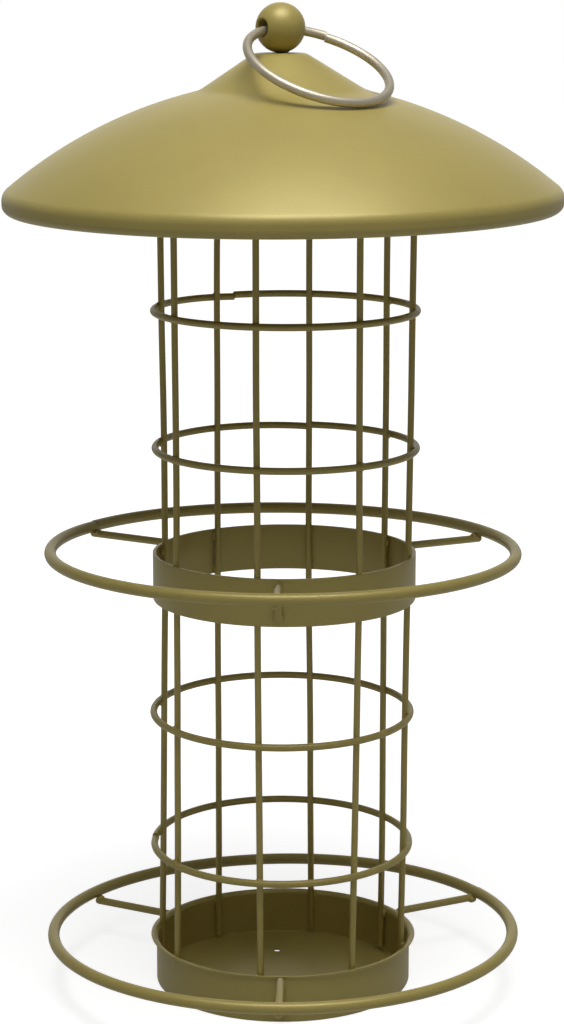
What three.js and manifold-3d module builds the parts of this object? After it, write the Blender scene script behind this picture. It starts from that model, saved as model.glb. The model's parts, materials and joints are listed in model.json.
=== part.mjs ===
// A hanging bird feeder for suet balls: a wire cage on a round tray, two perch rings,
// a spun dome roof that lifts off, a turning latch that locks it, and a hanging ring.
// Millimetres, +Z up. The origin is the centre of the tray's underside. "Front" is -Y.
// Azimuths are in degrees, counted from the front towards +X.
import * as THREE from "three";
import { mergeVertices } from "three/addons/utils/BufferGeometryUtils.js";
import Module from "manifold-3d";

const wasm = await Module();
wasm.setup();

// ---------------------------------------------------------------- driving dimensions

// Clearances
const WELD_GAP = 0.2; // between pieces that are welded together on the real feeder
const SEAT_GAP = 0.3; // between pieces that only rest on each other
const THREAD_GAP = 0.2; // around the stud, in everything threaded or slipped over it
const LATCH_GAP = 0.4; // between the latch bar and the tabs above it
const STOP_GAP = 0.5; // between the locked bar's side and the tabs' stops
const BAR_END_GAP = 0.85; // between the bar's ends and the uprights they sweep past
const RING_HOLE_GAP = 0.55; // around the ring where it bends through the ball

// Cage: upright wires inside welded hoops
const WIRE_COUNT = 8;
const WIRE_D = 2.1;
const WIRE_CIRCLE_R = 40.1;
const WIRE_START_AZ = -11.5;
const HOOP_D = 2.3;
const HOOP_HEIGHTS = [47.1, 91.8, 179.2, 223.7];
const CAGE_HEIGHT = 286.5; // top edge of the collar

// Middle band, which ties the wires and carries the upper perch
const BAND_BOTTOM = 129.9;
const BAND_HEIGHT = 15.2;
const BAND_SHEET = 1.2;

// Top collar and the two latch tabs inside it
const COLLAR_HEIGHT = 14;
const COLLAR_SHEET = 1.2;
const TAB_COUNT = 2;
const TAB_START_AZ = 101;
const TAB_RISE = 2.1; // from the collar's bottom edge up to the tabs' underside
const TAB_SHEET = 1.5;
const TAB_REACH = 8; // inwards from the collar's inner wall

// Tray
const TRAY_SHEET = 0.8;
const TRAY_HEIGHT = 15.8;
const TRAY_CORNER_R = 2;
const TRAY_LIP_R = 1;
const TRAY_LIP_WIDTH = 0.8; // flat part of the lip
const DRAIN_COUNT = 3;
const DRAIN_D = 2.6;
const DRAIN_CIRCLE_R = 22.6;
const DRAIN_START_AZ = 185;

// Perches: a round ring on three bent spokes
const PERCH_R = 75.5;
const PERCH_D = 3.8;
const SPOKE_COUNT = 3;
const SPOKE_START_AZ = -1.5;
const SPOKE_D = 2.5;
const SPOKE_BEND_R = 2.5;
const SPOKE_OVERRUN = 0.5; // how far an arm runs past the ring's centre line
const TRAY_FOOT_RISE = 0.55; // from the top of the tray's round corner up to a leg's end
const BAND_FOOT_RISE = 1.15; // from the band's bottom edge up to a leg's end
const BAND_ARM_DROP = 3.05; // from the band's top edge to the centre of the arms

// Roof, spun from sheet: flat top, cone, shallow dome, rolled rim
const ROOF_SHEET = 0.9;
const ROOF_FLAT_R = 8.4;
const ROOF_CONE_R = 26.4;
const ROOF_CONE_DROP = 11.5;
const ROOF_DOME_R = 86.9;
const ROOF_DOME_DROP = 29.9;
const ROOF_DOME_BULGE = 3.9;
const ROOF_RIM_R = 4.3;
const ROOF_SKIRT = 1.3;
const ROOF_CURL_R = 2.8;
const ROOF_CURL_DEG = 70;
const ROOF_HOLE_GAP = 0.3;

// Latch: finial ball, stud and bar turn together
const BALL_D = 15.6;
const BALL_HOLE_AZ = -53;
const BALL_FLOOR = 0.8; // metal left between the cross hole and the stud's hole
const STUD_D = 4;
const STUD_TAIL = 1.5; // below the last nut
const NUT_WALL = 1.5; // from the stud to a nut's flats
const NUT_HEIGHT = 3.2;
const WASHER_MARGIN = 1.9; // from the washer's edge to the edge of the roof's flat top
const WASHER_SHEET = 1;
const BAR_WIDTH = 8;
const BAR_SHEET = 2;
const LATCH_TURN = 45; // from open, as modelled, to locked under the tabs

// Hanging ring, bent from round wire
const RING_R = 22.8;
const RING_D = 2.9;
const RING_SEAM_AZ = 40; // from the ball to the butt joint
const RING_SEAM_GAP = 0.4;
const RING_SEAM_STEP = 0.8; // sideways mismatch of the two ends

// Facets
const ROUND_STEPS = 48;
const ROOF_STEPS = 64;
const ROD_SIDES = 8;
const HOOP_SIDES = 6;
const BORE_SIDES = 12;
const BALL_STEPS = 24;
const BAR_END_STEPS = 4;
const ARC_STEP_DEG = 23;
const DOME_STEPS = 6;
const DIP_HALVINGS = 20;

// ---------------------------------------------------------------- derived dimensions

const wireOuterR = WIRE_CIRCLE_R + WIRE_D / 2;
const hoopR = wireOuterR + WELD_GAP + HOOP_D / 2;
const sheetInnerR = wireOuterR + WELD_GAP;
const bandTop = BAND_BOTTOM + BAND_HEIGHT;
const trayOuterR = sheetInnerR + TRAY_SHEET;
const lipUnderside = TRAY_HEIGHT - TRAY_SHEET;
const trayArmZ = lipUnderside - WELD_GAP - SPOKE_D / 2;
const bandArmZ = bandTop - BAND_ARM_DROP;
const armToPerch = SPOKE_D / 2 + WELD_GAP + PERCH_D / 2;
const collarOuterR = sheetInnerR + COLLAR_SHEET;
const collarBottom = CAGE_HEIGHT - COLLAR_HEIGHT;
const tabUnderside = collarBottom + TAB_RISE;
const tabOuterR = sheetInnerR - WELD_GAP;
const tabWidth = BAR_WIDTH + 2 * (STOP_GAP + TAB_SHEET);
const stopDrop = LATCH_GAP + BAR_SHEET;
const barTop = tabUnderside - LATCH_GAP;
const barEndR = WIRE_CIRCLE_R - WIRE_D / 2 - BAR_END_GAP;
const boreR = STUD_D / 2 + THREAD_GAP;
const ballR = BALL_D / 2;
// The ring bends as it passes through the ball: half of that bend lies on each side of the hole's axis.
const ringOffset = (RING_R - Math.sqrt(RING_R * RING_R - ballR * ballR)) / 2;
const ballHoleR = ringOffset + RING_D / 2 + RING_HOLE_GAP;

// ---------------------------------------------------------------- materials

const paint = () => new THREE.MeshStandardMaterial({ color: 0xb3a35e, roughness: 0.55, metalness: 0.2 });
const nickel = () => new THREE.MeshStandardMaterial({ color: 0xb4ada4, roughness: 0.25, metalness: 1 });
const zinc = () => new THREE.MeshStandardMaterial({ color: 0x9d9f9f, roughness: 0.4, metalness: 1 });

// ---------------------------------------------------------------- helpers

const rad = THREE.MathUtils.degToRad;
const deg = THREE.MathUtils.radToDeg;

// A point at a radius, azimuth and height.
const at = (radius, azimuth, z = 0) =>
  new THREE.Vector3(radius * Math.sin(rad(azimuth)), -radius * Math.cos(rad(azimuth)), z);

function named(name, geometry, material) {
  const mesh = new THREE.Mesh(geometry, material);
  mesh.name = name;
  return mesh;
}

// Turns a profile of [radius, height] pairs round the Z axis.
function turned(profile, steps) {
  const points = profile.map(([r, z]) => new THREE.Vector2(r, z));
  return new THREE.LatheGeometry(points, steps).rotateX(Math.PI / 2);
}

// Points of an arc in a profile, both ends included. Angles are in degrees from +r towards +z.
function arc(centreR, centreZ, radius, from, to, fewest = 2) {
  const steps = Math.max(fewest, Math.ceil(Math.abs(to - from) / ARC_STEP_DEG));
  return Array.from({ length: steps + 1 }, (_, i) => {
    const angle = rad(from + ((to - from) * i) / steps);
    return [centreR + radius * Math.cos(angle), centreZ + radius * Math.sin(angle)];
  });
}

const closed = (profile) => [...profile, profile[0]];

// A rod's centre line through given points, walked point by point.
class RodPath extends THREE.Curve {
  constructor(points) {
    super();
    this.points = points;
  }
  getUtoTmapping(u) {
    return u;
  }
  getPoint(t) {
    const place = t * (this.points.length - 1);
    const i = Math.min(Math.floor(place), this.points.length - 2);
    return this.points[i].clone().lerp(this.points[i + 1], place - i);
  }
}

function polygon(radius, sides) {
  return Array.from({ length: sides }, (_, i) => {
    const angle = (2 * Math.PI * i) / sides;
    return new THREE.Vector2(radius * Math.cos(angle), radius * Math.sin(angle));
  });
}

function rod(points, diameter) {
  const section = new THREE.Shape(polygon(diameter / 2, ROD_SIDES));
  const extrudePath = new RodPath(points);
  return new THREE.ExtrudeGeometry(section, { steps: points.length - 1, extrudePath });
}

// A flat plate of the given outline, with a round bore at its centre, standing on bottomZ.
function boredPlate(outline, depth, bottomZ) {
  const shape = new THREE.Shape(outline);
  shape.holes.push(new THREE.Path(polygon(boreR, BORE_SIDES).reverse()));
  return new THREE.ExtrudeGeometry(shape, { depth, bevelEnabled: false }).translate(0, 0, bottomZ);
}

function solidOf(geometry) {
  const bare = geometry.clone().deleteAttribute("normal").deleteAttribute("uv");
  const merged = mergeVertices(bare, 1e-4);
  const vertProperties = merged.attributes.position.array;
  const triVerts = new Uint32Array(merged.index.array);
  return new wasm.Manifold(new wasm.Mesh({ numProp: 3, vertProperties, triVerts }));
}

function geometryOf(solid) {
  const { vertProperties, triVerts } = solid.getMesh();
  return new THREE.BufferGeometry()
    .setAttribute("position", new THREE.BufferAttribute(vertProperties, 3))
    .setIndex(new THREE.BufferAttribute(triVerts, 1));
}

// ---------------------------------------------------------------- tray and band

function trayGeometry() {
  const lipStartR = trayOuterR + TRAY_LIP_R;
  const cornerR = trayOuterR - TRAY_CORNER_R;
  const outside = [
    [0, 0],
    ...arc(cornerR, TRAY_CORNER_R, TRAY_CORNER_R, -90, 0),
    ...arc(lipStartR, lipUnderside - TRAY_LIP_R, TRAY_LIP_R, 180, 90),
    [lipStartR + TRAY_LIP_WIDTH, lipUnderside],
  ];
  const inside = [
    [lipStartR + TRAY_LIP_WIDTH, TRAY_HEIGHT],
    ...arc(lipStartR, lipUnderside - TRAY_LIP_R, TRAY_LIP_R + TRAY_SHEET, 90, 180),
    ...arc(cornerR, TRAY_CORNER_R, TRAY_CORNER_R - TRAY_SHEET, 0, -90),
    [0, TRAY_SHEET],
  ];
  let tray = solidOf(turned([...outside, ...inside], ROUND_STEPS));
  for (let i = 0; i < DRAIN_COUNT; i += 1) {
    const place = at(DRAIN_CIRCLE_R, DRAIN_START_AZ + (360 * i) / DRAIN_COUNT);
    const drill = new THREE.CylinderGeometry(DRAIN_D / 2, DRAIN_D / 2, 4 * TRAY_SHEET, ROD_SIDES);
    tray = tray.subtract(solidOf(drill.rotateX(Math.PI / 2).translate(place.x, place.y, 0)));
  }
  return geometryOf(tray);
}

function sheetRing(innerR, sheet, bottom, top) {
  const outerR = innerR + sheet;
  return turned(closed([[innerR, bottom], [outerR, bottom], [outerR, top], [innerR, top]]), ROUND_STEPS);
}

// ---------------------------------------------------------------- latch tabs

// One tab, welded inside the collar: a flat tongue pointing inwards, with a turned-down edge
// that stops the latch bar.
function tabGeometry(azimuth) {
  const tongue = new THREE.BoxGeometry(tabWidth, TAB_REACH, TAB_SHEET);
  const stop = new THREE.BoxGeometry(TAB_SHEET, TAB_REACH / 2, stopDrop + TAB_SHEET);
  stop.translate((tabWidth - TAB_SHEET) / 2, TAB_REACH / 4, -stopDrop / 2);
  const place = (geometry) =>
    geometry
      .translate(0, -(sheetInnerR - TAB_REACH / 2), tabUnderside + TAB_SHEET / 2)
      .rotateZ(rad(azimuth));
  const room = new THREE.CylinderGeometry(tabOuterR, tabOuterR, 2 * CAGE_HEIGHT, ROUND_STEPS)
    .rotateX(Math.PI / 2);
  return geometryOf(solidOf(place(tongue)).add(solidOf(place(stop))).intersect(solidOf(room)));
}

// ---------------------------------------------------------------- cage and perches

function upright(azimuth) {
  const bottom = TRAY_CORNER_R + WELD_GAP; // just above the round of the tray's inside corner
  const length = CAGE_HEIGHT - WELD_GAP - bottom;
  const place = at(WIRE_CIRCLE_R, azimuth, bottom + length / 2);
  return new THREE.CylinderGeometry(WIRE_D / 2, WIRE_D / 2, length, ROD_SIDES)
    .rotateX(Math.PI / 2)
    .translate(place.x, place.y, place.z);
}

// A leg down the wall it is welded to, a bend, and an arm out under the perch ring.
function spoke(azimuth, wallR, footZ, armZ) {
  const legR = wallR + WELD_GAP + SPOKE_D / 2;
  const bend = arc(legR + SPOKE_BEND_R, armZ - SPOKE_BEND_R, SPOKE_BEND_R, 180, 90);
  const line = [[legR, footZ], ...bend, [PERCH_R + SPOKE_OVERRUN, armZ]];
  return rod(line.map(([r, z]) => at(r, azimuth, z)), SPOKE_D);
}

function perch(prefix, wallR, footZ, armZ) {
  const group = new THREE.Group();
  const ring = new THREE.TorusGeometry(PERCH_R, PERCH_D / 2, ROD_SIDES, ROUND_STEPS);
  group.add(named(`${prefix}_perch_ring`, ring.translate(0, 0, armZ + armToPerch), paint()));
  for (let i = 0; i < SPOKE_COUNT; i += 1) {
    const azimuth = SPOKE_START_AZ + (360 * i) / SPOKE_COUNT;
    group.add(named(`${prefix}_spoke_${i + 1}`, spoke(azimuth, wallR, footZ, armZ), paint()));
  }
  return group;
}

function cage() {
  const group = new THREE.Group();
  group.add(named("tray", trayGeometry(), paint()));
  group.add(named("middle_band", sheetRing(sheetInnerR, BAND_SHEET, BAND_BOTTOM, bandTop), paint()));
  group.add(named("top_collar", sheetRing(sheetInnerR, COLLAR_SHEET, collarBottom, CAGE_HEIGHT), paint()));
  for (let i = 0; i < TAB_COUNT; i += 1) {
    const azimuth = TAB_START_AZ + (360 * i) / TAB_COUNT;
    group.add(named(`latch_tab_${i + 1}`, tabGeometry(azimuth), paint()));
  }
  for (let i = 0; i < WIRE_COUNT; i += 1) {
    group.add(named(`cage_wire_${i + 1}`, upright(WIRE_START_AZ + (360 * i) / WIRE_COUNT), paint()));
  }
  HOOP_HEIGHTS.forEach((height, i) => {
    const hoop = new THREE.TorusGeometry(hoopR, HOOP_D / 2, HOOP_SIDES, ROUND_STEPS);
    group.add(named(`cage_hoop_${i + 1}`, hoop.translate(0, 0, height), paint()));
  });
  group.add(perch("lower", trayOuterR, TRAY_CORNER_R + TRAY_FOOT_RISE, trayArmZ));
  group.add(perch("upper", sheetInnerR + BAND_SHEET, BAND_BOTTOM + BAND_FOOT_RISE, bandArmZ));
  return group;
}

// ---------------------------------------------------------------- roof

// The roof's outer line from the stud hole to the rim, with the flat top at height 0.
function roofLine() {
  const chord = new THREE.Vector2(ROOF_DOME_R - ROOF_CONE_R, -ROOF_DOME_DROP);
  const half = chord.length() / 2;
  const domeR = (half * half + ROOF_DOME_BULGE * ROOF_DOME_BULGE) / (2 * ROOF_DOME_BULGE);
  const middle = chord.clone().multiplyScalar(0.5).add(new THREE.Vector2(ROOF_CONE_R, -ROOF_CONE_DROP));
  const inward = new THREE.Vector2(chord.y, -chord.x).normalize();
  const centre = middle.clone().addScaledVector(inward, domeR - ROOF_DOME_BULGE);
  const chordDeg = deg(Math.atan2(-inward.y, -inward.x));
  const halfDeg = deg(Math.asin(half / domeR));
  const endDeg = chordDeg - halfDeg;
  const dome = arc(centre.x, centre.y, domeR, chordDeg + halfDeg, endDeg, DOME_STEPS);
  const [edgeR, edgeZ] = dome.at(-1);
  const rimR = edgeR - ROOF_RIM_R * Math.cos(rad(endDeg));
  const rimZ = edgeZ - ROOF_RIM_R * Math.sin(rad(endDeg));
  const curlR = rimR + ROOF_RIM_R - ROOF_CURL_R;
  return [
    [STUD_D / 2 + ROOF_HOLE_GAP, 0],
    [ROOF_FLAT_R, 0],
    ...dome,
    ...arc(rimR, rimZ, ROOF_RIM_R, endDeg, 0).slice(1),
    ...arc(curlR, rimZ - ROOF_SKIRT, ROOF_CURL_R, 0, -ROOF_CURL_DEG),
  ];
}

// The same line moved inwards by the sheet's thickness, corners mitred.
function offsetLine(line, distance) {
  const points = line.map(([r, z]) => new THREE.Vector2(r, z));
  const normal = (a, b) => new THREE.Vector2(b.y - a.y, a.x - b.x).normalize();
  return points.map((point, i) => {
    const before = normal(points[Math.max(i - 1, 0)], points[Math.max(i, 1)]);
    const last = points.length - 1;
    const after = normal(points[Math.min(i, last - 1)], points[Math.min(i + 1, last)]);
    const mitre = before.clone().add(after).normalize();
    const moved = point.clone().addScaledVector(mitre, distance / mitre.dot(before));
    return [moved.x, moved.y];
  });
}

function heightAt(line, radius) {
  const i = line.findIndex(([r], k) => k > 0 && r >= radius);
  const [[r0, z0], [r1, z1]] = [line[i - 1], line[i]];
  return z0 + ((z1 - z0) * (radius - r0)) / (r1 - r0);
}

const roofOutside = roofLine();
const roofInside = offsetLine(roofOutside, ROOF_SHEET);
// The roof rests on the collar's outer top edge.
const roofTop = CAGE_HEIGHT + SEAT_GAP - heightAt(roofInside, collarOuterR);

function roof() {
  const group = new THREE.Group();
  const profile = closed([...roofInside, ...[...roofOutside].reverse()]);
  const mesh = named("roof", turned(profile, ROOF_STEPS), paint());
  mesh.position.z = roofTop;
  group.add(mesh);
  return group;
}

// ---------------------------------------------------------------- latch

const ballZ = roofTop + SEAT_GAP + Math.sqrt(ballR * ballR - boreR * boreR);

function ballGeometry() {
  const studHoleTop = -ballHoleR - BALL_FLOOR;
  const studHoleLength = studHoleTop + BALL_D;
  const ball = new THREE.SphereGeometry(ballR, BALL_STEPS, BALL_STEPS / 2).rotateX(Math.PI / 2);
  const cross = new THREE.CylinderGeometry(ballHoleR, ballHoleR, 2 * BALL_D, BORE_SIDES)
    .rotateZ(rad(BALL_HOLE_AZ));
  const studHole = new THREE.CylinderGeometry(boreR, boreR, studHoleLength, BORE_SIDES)
    .rotateX(Math.PI / 2)
    .translate(0, 0, studHoleTop - studHoleLength / 2);
  return geometryOf(solidOf(ball).subtract(solidOf(cross)).subtract(solidOf(studHole)));
}

function nut(bottomZ) {
  const cornerR = (STUD_D / 2 + NUT_WALL) / Math.cos(Math.PI / 6);
  return boredPlate(polygon(cornerR, 6), NUT_HEIGHT, bottomZ);
}

function barGeometry(bottomZ) {
  const end = barEndR - BAR_WIDTH / 2;
  const outline = new THREE.Shape()
    .moveTo(-end, -BAR_WIDTH / 2)
    .lineTo(end, -BAR_WIDTH / 2)
    .absarc(end, 0, BAR_WIDTH / 2, -Math.PI / 2, Math.PI / 2)
    .lineTo(-end, BAR_WIDTH / 2)
    .absarc(-end, 0, BAR_WIDTH / 2, Math.PI / 2, (3 * Math.PI) / 2);
  const openAngle = rad(TAB_START_AZ - 90 - LATCH_TURN);
  return boredPlate(outline.getPoints(BAR_END_STEPS), BAR_SHEET, bottomZ).rotateZ(openAngle);
}

function latch() {
  const group = new THREE.Group();
  const ball = named("finial_ball", ballGeometry(), paint());
  ball.position.z = ballZ;
  group.add(ball);

  const washerTop = roofTop - ROOF_SHEET - SEAT_GAP;
  const washerBottom = washerTop - WASHER_SHEET;
  const roofNutZ = washerBottom - WELD_GAP - NUT_HEIGHT;
  const barBottom = barTop - BAR_SHEET;
  const lowerNutZ = barBottom - WELD_GAP - NUT_HEIGHT;
  const studTop = ballZ - ballHoleR - BALL_FLOOR - THREAD_GAP;
  const studBottom = lowerNutZ - STUD_TAIL;
  const stud = new THREE.CylinderGeometry(STUD_D / 2, STUD_D / 2, studTop - studBottom, BORE_SIDES)
    .rotateX(Math.PI / 2)
    .translate(0, 0, (studTop + studBottom) / 2);
  group.add(named("latch_stud", stud, zinc()));
  const washerWidth = ROOF_FLAT_R - WASHER_MARGIN - boreR;
  group.add(named("roof_washer", sheetRing(boreR, washerWidth, washerBottom, washerTop), zinc()));
  group.add(named("roof_nut", nut(roofNutZ), zinc()));
  group.add(named("bar_upper_nut", nut(barTop + WELD_GAP), zinc()));
  group.add(named("latch_bar", barGeometry(barBottom), zinc()));
  group.add(named("bar_lower_nut", nut(lowerNutZ), zinc()));
  return group;
}

// ---------------------------------------------------------------- hanging ring

// The ring's centre line round the ball's cross hole, hanging down by dip degrees.
// The hole's direction is local X, and the ring leaves towards local -Y when dip is 0.
// It winds like one turn of a spring, so that its two ends miss each other sideways.
function ringLine(dip) {
  const seamHalfDeg = deg(RING_SEAM_GAP / 2 / RING_R);
  const from = RING_SEAM_AZ + seamHalfDeg;
  const sweep = 360 - 2 * seamHalfDeg;
  const down = rad(dip);
  return Array.from({ length: ROUND_STEPS + 1 }, (_, i) => {
    const turn = from + (sweep * i) / ROUND_STEPS;
    const aside = (RING_SEAM_STEP * (turn - 360)) / 360;
    const out = RING_R * (1 - Math.cos(rad(turn))) - ringOffset;
    return new THREE.Vector3(
      RING_R * Math.sin(rad(turn)),
      -out * Math.cos(down) - aside * Math.sin(down),
      -out * Math.sin(down) + aside * Math.cos(down),
    );
  });
}

// Distance from a point beside or above the roof to the roof's outer surface.
function roofDistance(point) {
  const here = new THREE.Vector2(Math.hypot(point.x, point.y), point.z + ballZ - roofTop);
  let nearest = Infinity;
  for (let i = 1; i < roofOutside.length; i += 1) {
    const a = new THREE.Vector2(...roofOutside[i - 1]);
    const along = new THREE.Vector2(...roofOutside[i]).sub(a);
    const share = THREE.MathUtils.clamp(here.clone().sub(a).dot(along) / along.lengthSq(), 0, 1);
    nearest = Math.min(nearest, here.distanceTo(a.addScaledVector(along, share)));
  }
  return nearest;
}

// How far the ring dips when it lies on the roof, found by halving between level and upright.
function restingDip() {
  const clear = (dip) => Math.min(...ringLine(dip).map(roofDistance)) - RING_D / 2 > SEAT_GAP;
  let [low, high] = [0, 90];
  for (let i = 0; i < DIP_HALVINGS; i += 1) {
    const middle = (low + high) / 2;
    if (clear(middle)) low = middle;
    else high = middle;
  }
  return low;
}

function hangingRing() {
  const group = new THREE.Group();
  const mesh = named("hanging_ring", rod(ringLine(restingDip()), RING_D), nickel());
  mesh.position.z = ballZ;
  mesh.rotation.z = rad(BALL_HOLE_AZ + 90);
  group.add(mesh);
  return group;
}

// ---------------------------------------------------------------- assembly

const feeder = new THREE.Group();
feeder.add(cage(), roof(), latch(), hangingRing());

export default feeder;
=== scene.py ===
"""Finished surfaces of a hanging suet ball feeder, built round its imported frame.

Metres, +Z up. The feeder stands on z = 0 and its axis is the Z axis. "Front" is -Y.
Azimuths are counted from the front towards +X.
"""
import json
from collections import namedtuple
from functools import partial
from math import asin, atan2, cos, degrees, hypot, pi, radians, sin, sqrt, tan

import bmesh
import bpy
from bpy.props import FloatProperty, FloatVectorProperty, IntProperty, PointerProperty
from bpy.types import NodeSocket, Operator, Panel, PropertyGroup
from mathutils import Matrix, Vector


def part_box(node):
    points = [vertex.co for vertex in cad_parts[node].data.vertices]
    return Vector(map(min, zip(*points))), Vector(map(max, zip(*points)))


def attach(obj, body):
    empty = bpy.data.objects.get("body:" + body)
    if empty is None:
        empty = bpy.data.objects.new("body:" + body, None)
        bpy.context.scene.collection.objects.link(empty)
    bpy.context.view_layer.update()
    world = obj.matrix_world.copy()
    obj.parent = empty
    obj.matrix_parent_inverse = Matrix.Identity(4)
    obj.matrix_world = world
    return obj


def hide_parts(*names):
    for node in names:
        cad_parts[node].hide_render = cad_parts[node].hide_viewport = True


bl_info = {
    "name": "Suet Ball Feeder",
    "version": (1, 0, 0),
    "blender": (4, 5, 0),
    "location": "3D View > Sidebar > Feeder",
    "description": "Builds the finished surfaces of a hanging suet ball feeder round its frame",
    "category": "Add Mesh",
}

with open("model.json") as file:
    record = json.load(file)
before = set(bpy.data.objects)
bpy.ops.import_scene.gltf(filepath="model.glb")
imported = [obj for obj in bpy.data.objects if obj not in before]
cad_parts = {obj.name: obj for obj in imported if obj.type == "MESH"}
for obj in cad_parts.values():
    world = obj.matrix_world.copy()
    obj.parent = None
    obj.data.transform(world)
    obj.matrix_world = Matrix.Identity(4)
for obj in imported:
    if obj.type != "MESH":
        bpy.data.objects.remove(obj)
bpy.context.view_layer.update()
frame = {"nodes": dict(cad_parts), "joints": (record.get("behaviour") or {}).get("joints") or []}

MM = 0.001
UP = Vector((0, 0, 1))
UPRIGHTS = [f"cage_wire_{i}" for i in range(1, 9)]
HOOPS = [f"cage_hoop_{i}" for i in range(1, 5)]
PERCH_RINGS = ["lower_perch_ring", "upper_perch_ring"]
TABS = ["latch_tab_1", "latch_tab_2"]
NUTS = ["roof_nut", "bar_upper_nut", "bar_lower_nut"]

# ---- places taken from the frame


def middle(node):
    return sum(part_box(node), Vector()) / 2


def height_range(node):
    return [corner.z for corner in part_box(node)]


def outer_radius(node):
    low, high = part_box(node)
    return (high.x - low.x) / 2


def points_of(node):
    """A node's vertices, the one farthest from the axis first."""
    points = [v.co for v in frame["nodes"][node].data.vertices]
    return sorted(points, key=lambda p: p.to_2d().length, reverse=True)


def slope(degrees):
    return tan(radians(degrees))


def azimuth_of(point):
    return atan2(point.x, -point.y)


def at(radius, azimuth, z=0.0):
    return Vector((radius * sin(azimuth), -radius * cos(azimuth), z))


# How far each piece of the cage was welded out of true, in mm and degrees.
# Uprights: to the right at the foot, at the middle band and at the top.
UPRIGHT_SHIFTS = (
    (1.0, 0.1, -0.3), (-0.4, 1.4, 1.0), (-0.9, 0.5, 1.6), (-0.3, -0.1, 0.2),
    (1.9, 0.6, 0.8), (0.4, 0.3, 1.0), (-0.8, 1.3, 0.3), (-0.5, 0.4, -0.1),
)
# Rings: azimuth of the joint, down at the front, to the right, up, up at the right, larger.
Stray = namedtuple("Stray", "joint tilt shift rise twist growth", defaults=(0.0, 0.0))
HOOP_STRAYS = (
    Stray(265, 1.4, -0.4, 0.2), Stray(124, 1.1, -0.3, 0.0),
    Stray(168, 0.4, 0.9, 0.0), Stray(204, 0.25, 0.8, -0.25),
)
PERCH_STRAYS = {
    "lower": Stray(118, -1.1, 0.0, -0.1, 0.31, 0.5),
    "upper": Stray(238, -0.75, 0.0, -0.1, -0.18, -0.4),
}
# Spokes, from the front one: turned, raised at the wall and raised at the ring.
SPOKE_STRAYS = {
    "lower": ((0.45, 0.9, 0.9), (0.0, 1.7, 1.7), (0.0, 0.4, 0.4)),
    "upper": ((-0.4, 0.45, 1.4), (0.0, 0.5, 0.5), (0.0, 0.95, 0.95)),
}

BAND_SHEET = 1.2  # mm
UPRIGHT_SINK = 0.4  # mm, outwards into the wall from its place in the frame
UPRIGHT_CIRCLE = middle("cage_wire_1").to_2d().length + UPRIGHT_SINK * MM
WALL_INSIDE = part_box("middle_band")[1].x - BAND_SHEET * MM
SWING = next(j for j in frame["joints"] if j["name"] == "ring_swing")
SWING_AXIS = Vector(SWING["axis"])

# ---- sizes a user would change


def length(name, description, millimetres):
    return FloatProperty(
        name=name, description=description, default=millimetres * MM, unit="LENGTH", precision=5)


def angle(name, description, degrees):
    return FloatProperty(
        name=name, description=description, default=radians(degrees), subtype="ANGLE")


def colour(name, description, text):
    return FloatVectorProperty(
        name=name, description=description, default=linear(text)[:3], subtype="COLOR",
        min=0.0, max=1.0)


def linear(text):
    """A hex colour such as #a09060, from sRGB to linear RGBA."""
    parts = [int(text[i:i + 2], 16) / 255 for i in (1, 3, 5)]
    return [c / 12.92 if c <= 0.04045 else ((c + 0.055) / 1.055) ** 2.4 for c in parts] + [1.0]


class FeederCage(PropertyGroup):
    wire: length("Upright wire", "Diameter of the eight uprights", 2.1)
    hoop: length("Hoop wire", "Diameter of the four hoops", 2.3)
    wander: length("Wander", "How far an upright strays from straight", 0.25)
    sink: length("Weld sink", "How far the hoops sink into the uprights", 0.55)
    joint_gap: length("Joint gap", "Gap between the two ends of a hoop", 0.15)
    joint_step: length("Joint step", "How far one end of a hoop sits below the other", 0.6)
    joint_fade: length("Joint fade", "Length over which the low end comes back to level", 14.0)
    weld: length("Weld", "Half the width of the weld of an upright and a hoop", 1.35)
    seed: IntProperty(name="Seed", description="Seed of the wander and the weld sizes", default=7)


class FeederSheets(PropertyGroup):
    tray_sheet: length("Tray sheet", "Thickness of the tray", 0.6)
    tray_corner: length("Tray corner", "Outer radius between the tray's floor and wall", 0.9)
    lip_radius: length("Lip radius", "Radius of the bend from the wall out into the lip", 1.0)
    lip_width: length("Lip width", "Flat part of the tray's lip", 0.8)
    lip_uneven: FloatProperty(
        name="Uneven lip", description="How much narrower the lip is at the front and back",
        default=0.65, min=0.0, max=1.0,
    )
    drain: length("Drain hole", "Diameter of a drain hole", 2.6)
    drain_circle: length("Drain circle", "Radius of the circle the drain holes lie on", 22.6)
    drain_start: angle("First drain", "Azimuth of the first drain hole", 185)
    drain_count: IntProperty(
        name="Drain holes", description="Number of drain holes", default=3, min=1)
    band_sheet: length("Band sheet", "Thickness of the middle band and the collar", BAND_SHEET)
    seam_azimuth: angle("Band seam", "Azimuth of the seam in the middle band", 215.3)
    seam_gap: length("Band seam gap", "Width of the seam in the middle band", 0.45)
    shift: length("Band shift", "How far the band and the collar sit to the right", 0.45)


class FeederPerches(PropertyGroup):
    ring: length("Perch ring", "Diameter of the perch ring's rod", 3.8)
    spoke: length("Spoke", "Diameter of a spoke", 2.5)
    bend: length("Spoke bend", "Radius of a spoke's bend, at its centre line", 2.5)
    weld: length("Perch weld", "Half the width of the weld between spoke and ring", 2.1)


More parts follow.
